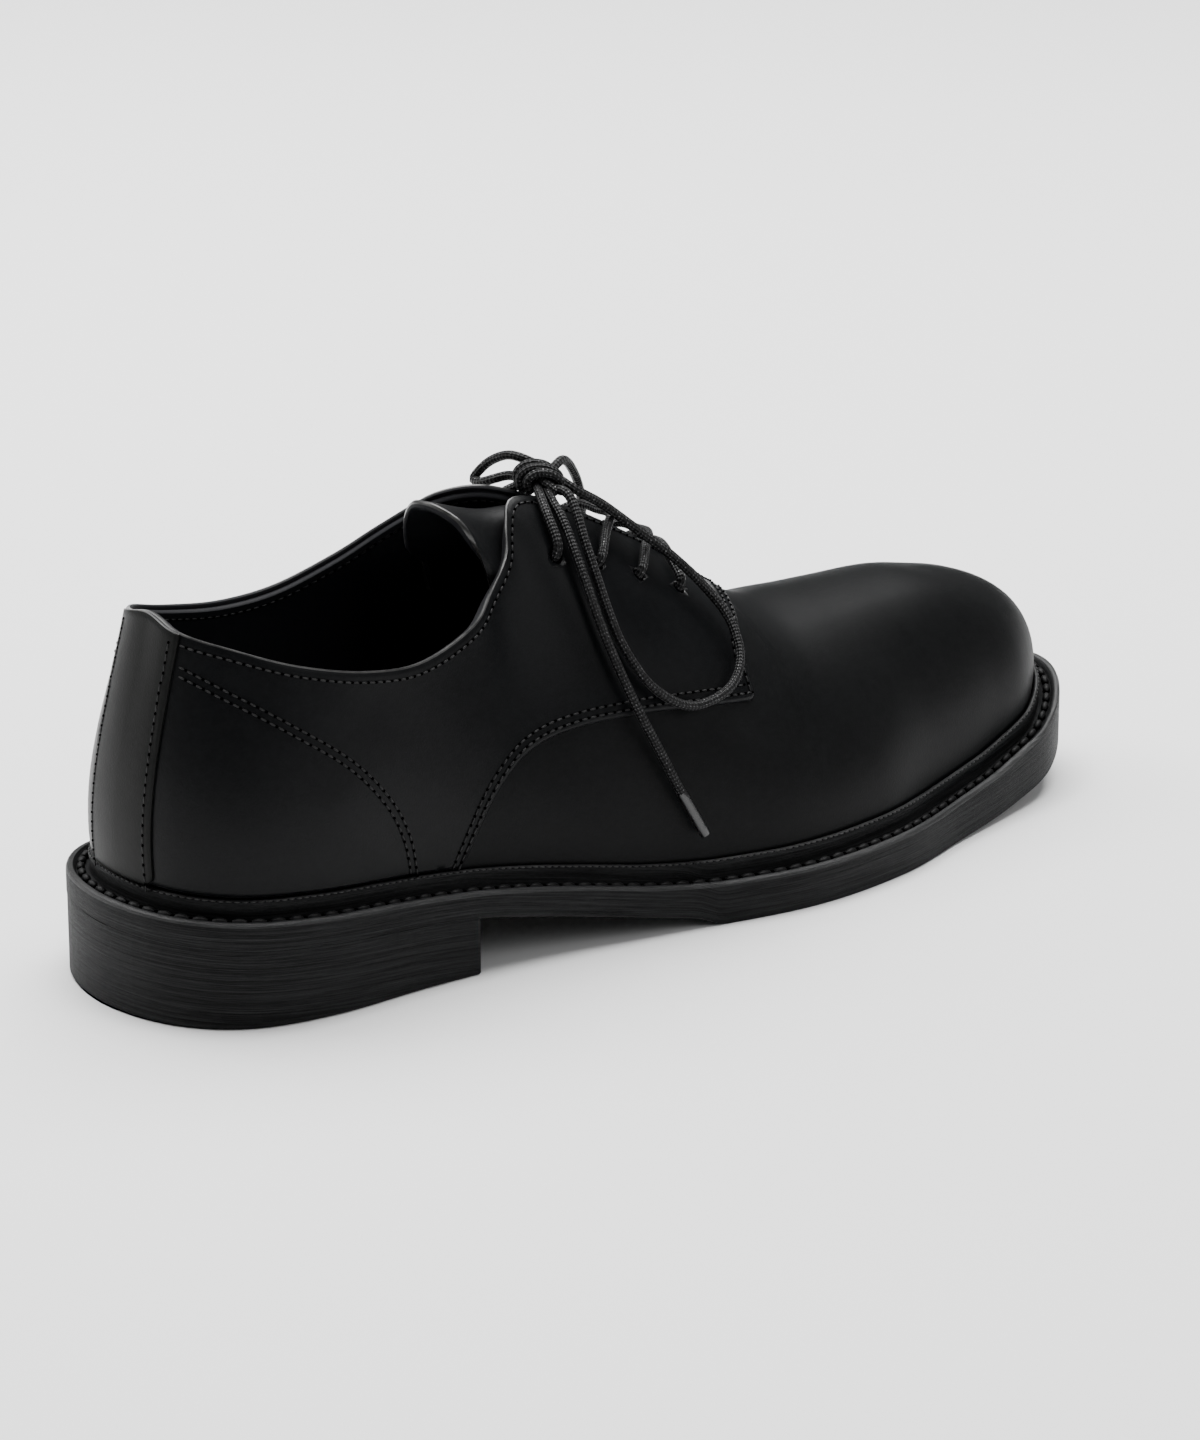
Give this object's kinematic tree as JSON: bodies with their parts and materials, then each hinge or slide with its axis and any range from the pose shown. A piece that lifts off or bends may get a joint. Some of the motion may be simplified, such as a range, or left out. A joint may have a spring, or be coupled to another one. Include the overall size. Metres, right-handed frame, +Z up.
{
  "type": "derby shoe",
  "caption": "Plain-toe lace-up derby shoe for the right foot, with a smooth dark leather upper, a raised welt all round and a thick stacked rubber sole.",
  "frame": {"origin": "middle of the heel's flat underside, on the floor", "axes": "+Y from heel to toe, +X towards the outer side of the foot, +Z up"},
  "size_m": [0.1073, 0.302, 0.1118],
  "materials": {
    "upper_leather": "satin",
    "insole_leather": "matte",
    "sole_rubber": "matte",
    "lace_cord": "waxed"
  },
  "bodies": {
    "root": {"outsole": "sole_rubber", "heel": "sole_rubber", "welt": "sole_rubber", "insole": "insole_leather", "upper": "upper_leather", "tongue": "upper_leather", "backstay": "upper_leather", "lace_bar_upper": "lace_cord", "lace_bar_middle": "lace_cord", "lace_bar_lower": "lace_cord", "lace_knot": "lace_cord", "lace_loop_outer": "lace_cord", "lace_loop_inner": "lace_cord", "lace_end_outer": "lace_cord", "lace_end_inner": "lace_cord"}
  },
  "joints": []
}
